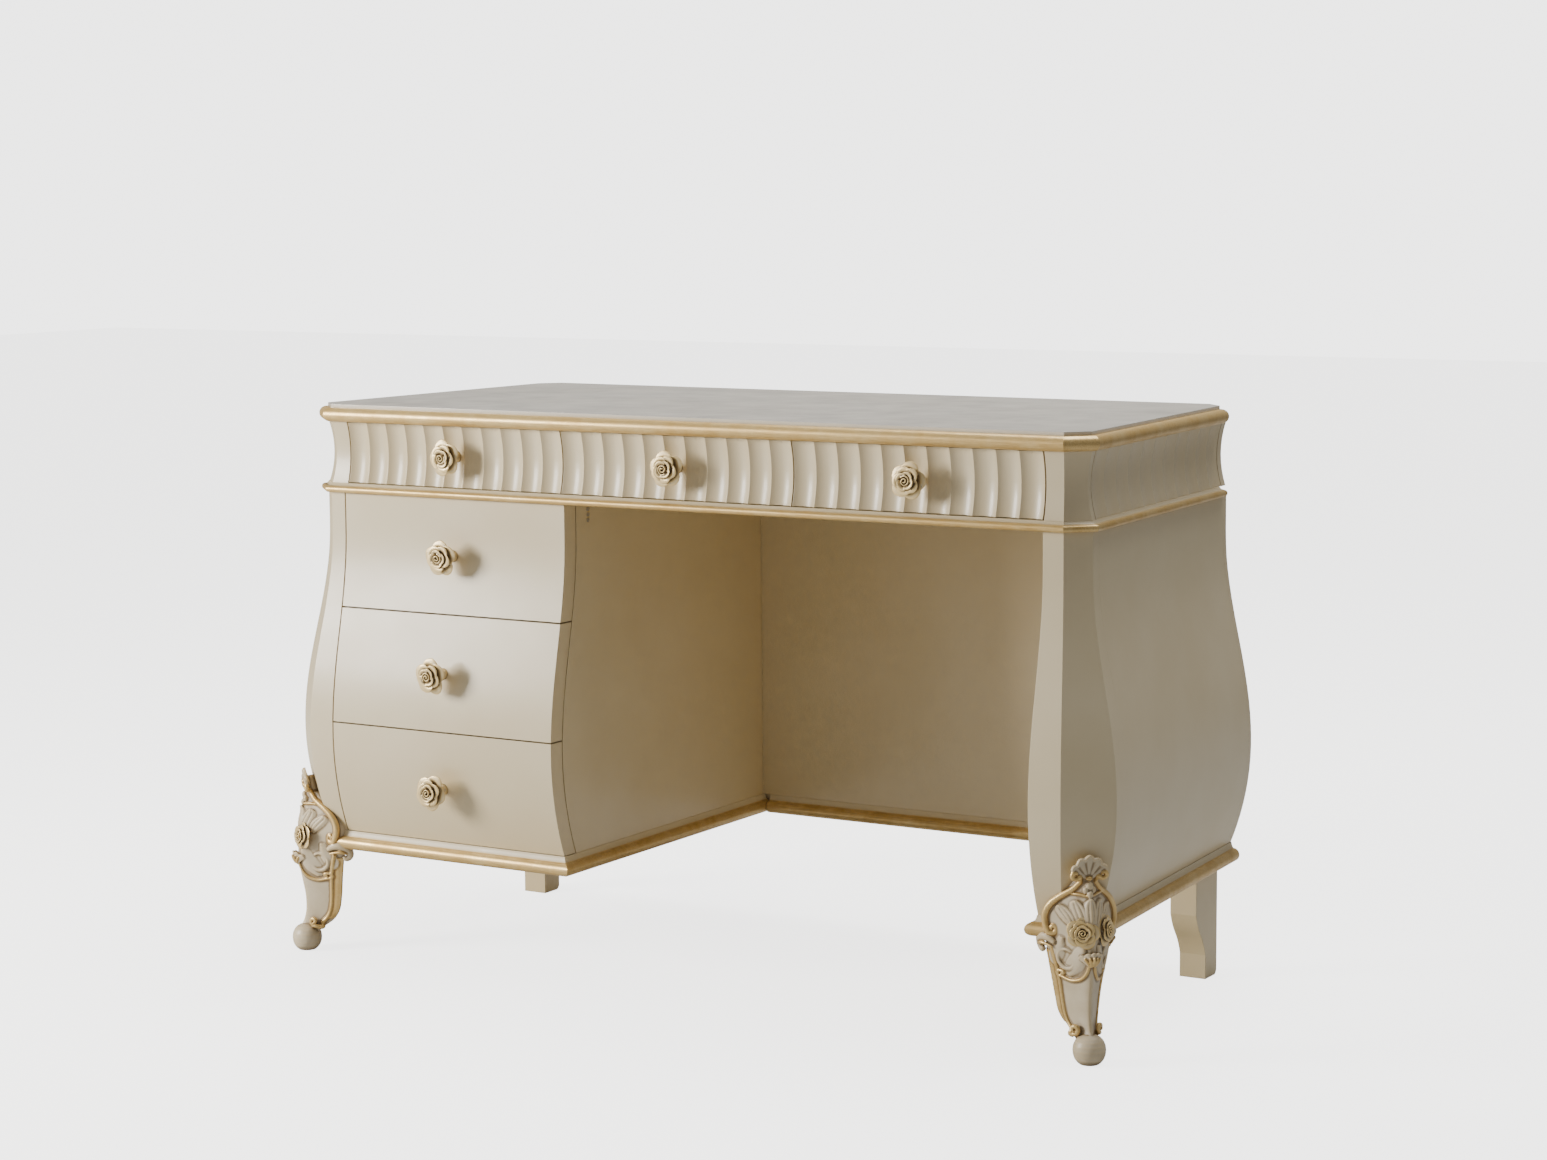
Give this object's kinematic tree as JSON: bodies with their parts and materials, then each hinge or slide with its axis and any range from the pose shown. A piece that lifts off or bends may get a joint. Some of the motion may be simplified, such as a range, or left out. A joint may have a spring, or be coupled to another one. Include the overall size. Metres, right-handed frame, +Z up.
{
  "type": "kneehole dressing table",
  "caption": "Kneehole dressing table with a swelling drawer pedestal, a fluted frieze with drawers, rose knobs, gilded mouldings and carved cabriole front feet.",
  "frame": {"origin": "centre of the bounding box's bottom face, on the floor under the table", "axes": "+X along the table's length, from the drawer pedestal to the open support; +Y towards the back; +Z up; the drawer fronts face -Y"},
  "size_m": [1.2766, 0.6055, 0.78],
  "materials": {
    "ivory_lacquer": "satin ivory lacquer on wood",
    "polished_top": "polished ivory lacquer",
    "gilded_moulding": "brushed champagne gilding on wood",
    "rose_knob": "champagne gilding with brown glaze in the recesses",
    "carved_foot": "ivory lacquer with gilded edges",
    "drawer_wood": "plain sealed wood",
    "screw_steel": "dull steel"
  },
  "bodies": {
    "carcass": {"connector_screws": "screw_steel", "frieze_back_rail": "ivory_lacquer", "frieze_corner_left": "ivory_lacquer", "frieze_corner_right": "ivory_lacquer", "frieze_dividers": "drawer_wood", "frieze_runners": "drawer_wood", "frieze_side_left": "ivory_lacquer", "frieze_side_right": "ivory_lacquer", "front_foot_left": "carved_foot", "front_foot_right": "carved_foot", "kneehole_back": "ivory_lacquer", "kneehole_base_moulding": "gilded_moulding", "pedestal_back": "ivory_lacquer", "pedestal_base_moulding": "gilded_moulding", "pedestal_floor": "drawer_wood", "pedestal_front_post": "ivory_lacquer", "pedestal_inner_side": "ivory_lacquer", "pedestal_outer_side": "ivory_lacquer", "pedestal_runners": "drawer_wood", "rear_leg_left": "ivory_lacquer", "rear_leg_right": "ivory_lacquer", "support_base_moulding": "gilded_moulding", "support_floor": "drawer_wood", "support_front_post": "ivory_lacquer", "support_inner_side": "ivory_lacquer", "support_outer_side": "ivory_lacquer", "top_board": "polished_top", "top_edge_moulding": "gilded_moulding", "waist_bead": "gilded_moulding", "waist_board": "ivory_lacquer"},
    "frieze_left_drawer": {"frieze_left_drawer_back": "drawer_wood", "frieze_left_drawer_bottom": "drawer_wood", "frieze_left_drawer_front": "ivory_lacquer", "frieze_left_drawer_knob": "rose_knob", "frieze_left_drawer_sides": "drawer_wood"},
    "frieze_middle_drawer": {"frieze_middle_drawer_back": "drawer_wood", "frieze_middle_drawer_bottom": "drawer_wood", "frieze_middle_drawer_front": "ivory_lacquer", "frieze_middle_drawer_knob": "rose_knob", "frieze_middle_drawer_sides": "drawer_wood"},
    "frieze_right_drawer": {"frieze_right_drawer_back": "drawer_wood", "frieze_right_drawer_bottom": "drawer_wood", "frieze_right_drawer_front": "ivory_lacquer", "frieze_right_drawer_knob": "rose_knob", "frieze_right_drawer_sides": "drawer_wood"},
    "pedestal_top_drawer": {"pedestal_top_drawer_back": "drawer_wood", "pedestal_top_drawer_bottom": "drawer_wood", "pedestal_top_drawer_front": "ivory_lacquer", "pedestal_top_drawer_knob": "rose_knob", "pedestal_top_drawer_sides": "drawer_wood"},
    "pedestal_middle_drawer": {"pedestal_middle_drawer_back": "drawer_wood", "pedestal_middle_drawer_bottom": "drawer_wood", "pedestal_middle_drawer_front": "ivory_lacquer", "pedestal_middle_drawer_knob": "rose_knob", "pedestal_middle_drawer_sides": "drawer_wood"},
    "pedestal_bottom_drawer": {"pedestal_bottom_drawer_back": "drawer_wood", "pedestal_bottom_drawer_bottom": "drawer_wood", "pedestal_bottom_drawer_front": "ivory_lacquer", "pedestal_bottom_drawer_knob": "rose_knob", "pedestal_bottom_drawer_sides": "drawer_wood"}
  },
  "joints": [
    {"name": "frieze_left_drawer_slide", "type": "slide", "parent": "carcass", "child": "frieze_left_drawer", "axis": [0, -1, 0], "range_m": [0, 0.25]},
    {"name": "frieze_middle_drawer_slide", "type": "slide", "parent": "carcass", "child": "frieze_middle_drawer", "axis": [0, -1, 0], "range_m": [0, 0.25]},
    {"name": "frieze_right_drawer_slide", "type": "slide", "parent": "carcass", "child": "frieze_right_drawer", "axis": [0, -1, 0], "range_m": [0, 0.25]},
    {"name": "pedestal_top_drawer_slide", "type": "slide", "parent": "carcass", "child": "pedestal_top_drawer", "axis": [0, -1, 0], "range_m": [0, 0.29]},
    {"name": "pedestal_middle_drawer_slide", "type": "slide", "parent": "carcass", "child": "pedestal_middle_drawer", "axis": [0, -1, 0], "range_m": [0, 0.29]},
    {"name": "pedestal_bottom_drawer_slide", "type": "slide", "parent": "carcass", "child": "pedestal_bottom_drawer", "axis": [0, -1, 0], "range_m": [0, 0.29]}
  ]
}
